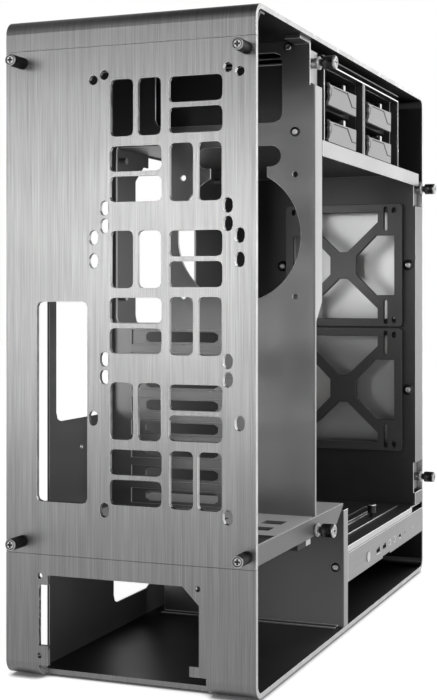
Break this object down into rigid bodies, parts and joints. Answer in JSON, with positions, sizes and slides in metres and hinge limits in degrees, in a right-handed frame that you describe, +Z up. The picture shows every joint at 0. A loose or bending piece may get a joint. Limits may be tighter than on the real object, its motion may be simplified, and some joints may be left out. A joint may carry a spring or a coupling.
{
  "type": "tower pc case",
  "caption": "Open-sided tower pc case: folded aluminium wrap, slotted rear cover, inner wall, motherboard tray, drive cage with pull-out trays and a control strip.",
  "frame": {"origin": "middle of the base, on the surface that the feet stand on", "axes": "+Z up, +Y towards the rear cover, -X towards the open component side"},
  "size_m": [0.252, 0.55, 0.532],
  "materials": {
    "brushed_aluminium": "brushed, dark anodised",
    "black_sheet": "satin black coat",
    "silver_strip": "fine satin",
    "silver_plastic": "satin",
    "black_plastic": "fine grain",
    "black_screw": "dark plated",
    "steel": "plain",
    "clear_ring": "translucent white",
    "board": "coated",
    "rubber": "matt",
    "lamp": "clear"
  },
  "bodies": {
    "chassis": {"audio_jacks": "black_plastic", "bottom_bracket": "black_sheet", "bottom_shelf": "black_sheet", "bracket_thumbscrew": "black_screw", "cage_divider_1": "black_sheet", "cage_divider_2": "black_sheet", "cage_divider_3": "black_sheet", "cage_floor": "black_sheet", "cage_top": "black_sheet", "cover_bracket": "black_sheet", "fan_bracket_lower": "black_plastic", "fan_bracket_screws": "steel", "fan_bracket_upper": "black_plastic", "feet": "rubber", "frame_screws": "black_screw", "front_frame": "black_sheet", "indicator_leds": "lamp", "inner_wall": "black_sheet", "io_board": "board", "io_panel": "silver_strip", "mid_shelf": "black_sheet", "motherboard_standoffs": "steel", "motherboard_tray": "black_sheet", "outer_wrap": "brushed_aluminium", "panel_posts": "steel", "post_brackets": "black_sheet", "post_knobs": "black_screw", "post_washers": "clear_ring", "psu_partition": "black_sheet", "rear_cover": "brushed_aluminium", "rear_cover_thumbscrews": "black_screw", "slot_cover_screws": "steel", "slot_covers": "black_sheet", "type_c_port": "steel", "usb_ports": "steel"},
    "drive_tray_body_1": {"drive_tray_1": "black_plastic", "tray_handle_1": "silver_plastic"},
    "drive_tray_body_2": {"drive_tray_2": "black_plastic", "tray_handle_2": "silver_plastic"},
    "drive_tray_body_3": {"drive_tray_3": "black_plastic", "tray_handle_3": "silver_plastic"},
    "drive_tray_body_4": {"drive_tray_4": "black_plastic", "tray_handle_4": "silver_plastic"},
    "power_button_body": {"power_button": "steel"}
  },
  "joints": [
    {"name": "drive_tray_slide_1", "type": "slide", "parent": "chassis", "child": "drive_tray_body_1", "axis": [-1, 0, 0], "range_m": [0, 0.15]},
    {"name": "drive_tray_slide_2", "type": "slide", "parent": "chassis", "child": "drive_tray_body_2", "axis": [-1, 0, 0], "range_m": [0, 0.15]},
    {"name": "drive_tray_slide_3", "type": "slide", "parent": "chassis", "child": "drive_tray_body_3", "axis": [-1, 0, 0], "range_m": [0, 0.15]},
    {"name": "drive_tray_slide_4", "type": "slide", "parent": "chassis", "child": "drive_tray_body_4", "axis": [-1, 0, 0], "range_m": [0, 0.15]},
    {"name": "power_button_press", "type": "slide", "parent": "chassis", "child": "power_button_body", "axis": [1, 0, 0], "range_m": [0, 0.0012], "stiffness_N_per_m": 600}
  ]
}
